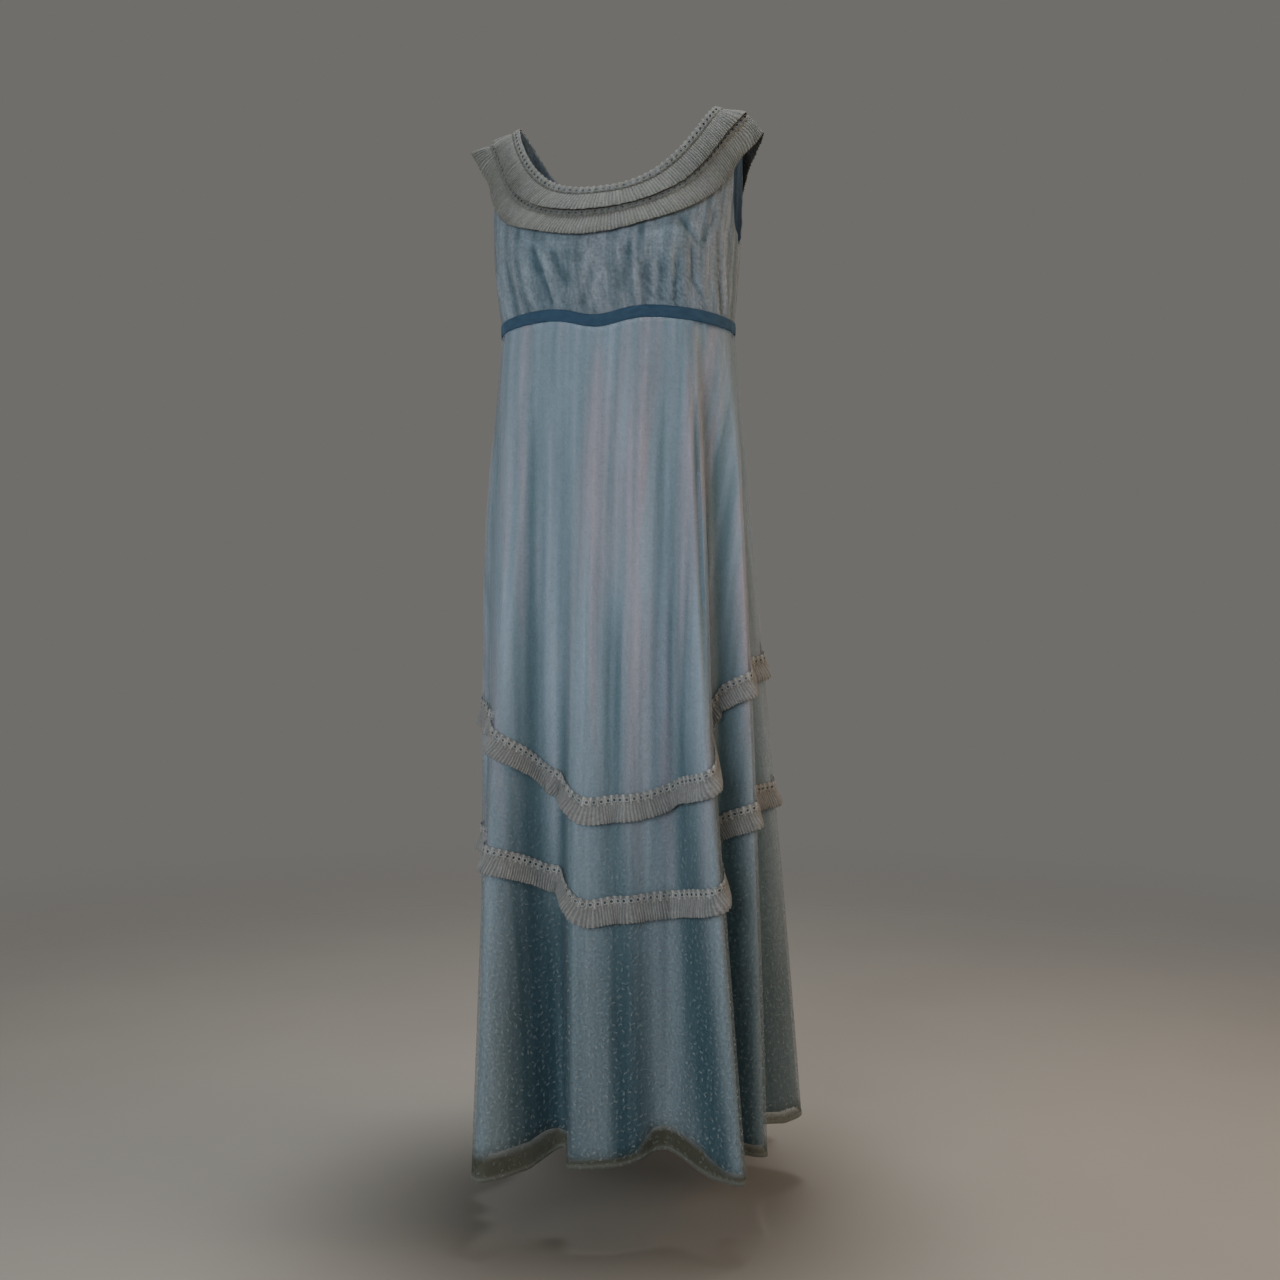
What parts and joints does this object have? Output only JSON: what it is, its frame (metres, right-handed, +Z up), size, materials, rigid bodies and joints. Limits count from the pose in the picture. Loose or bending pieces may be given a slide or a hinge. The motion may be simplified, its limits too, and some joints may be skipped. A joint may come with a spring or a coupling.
{
  "type": "dress",
  "caption": "Sleeveless full-length empire-line dress, hollow as if worn: scoop neck, lace-headed pleated trims at neck and skirt, velvet ribbon, back zip with a pull tab.",
  "frame": {"origin": "midway between the two shoulder seams, at their height, where the wearer's shoulders hold the dress up", "axes": "+Z up, the dress's front faces -Y, +X is the side on a viewer's right when the front is seen"},
  "size_m": [0.446, 0.5512, 1.3989],
  "materials": {
    "voile": "sheer printed voile",
    "satin": "satin",
    "velvet": "velvet",
    "lace": "cotton lace",
    "tape": "woven tape",
    "nickel": "bright nickel"
  },
  "bodies": {
    "dress": {"bodice_front": "voile", "bodice_back_left": "voile", "bodice_back_right": "voile", "ribbon": "velvet", "skirt_front": "voile", "skirt_back_left": "voile", "skirt_back_right": "voile", "lining_front": "satin", "lining_back_left": "satin", "lining_back_right": "satin", "neck_trim_upper": "lace", "neck_trim_lower": "lace", "skirt_trim_upper": "lace", "skirt_trim_lower": "lace", "zip_tape": "tape", "zip_chain": "nickel", "zip_slider": "nickel"},
    "pull_tab": {"zip_pull_tab": "nickel"}
  },
  "joints": [
    {"name": "pull_tab_hinge", "type": "hinge", "parent": "dress", "child": "pull_tab", "pos_m": [0, 0.08367, -0.12378], "axis": [1, 0, 0], "range_deg": [0, 150]}
  ]
}
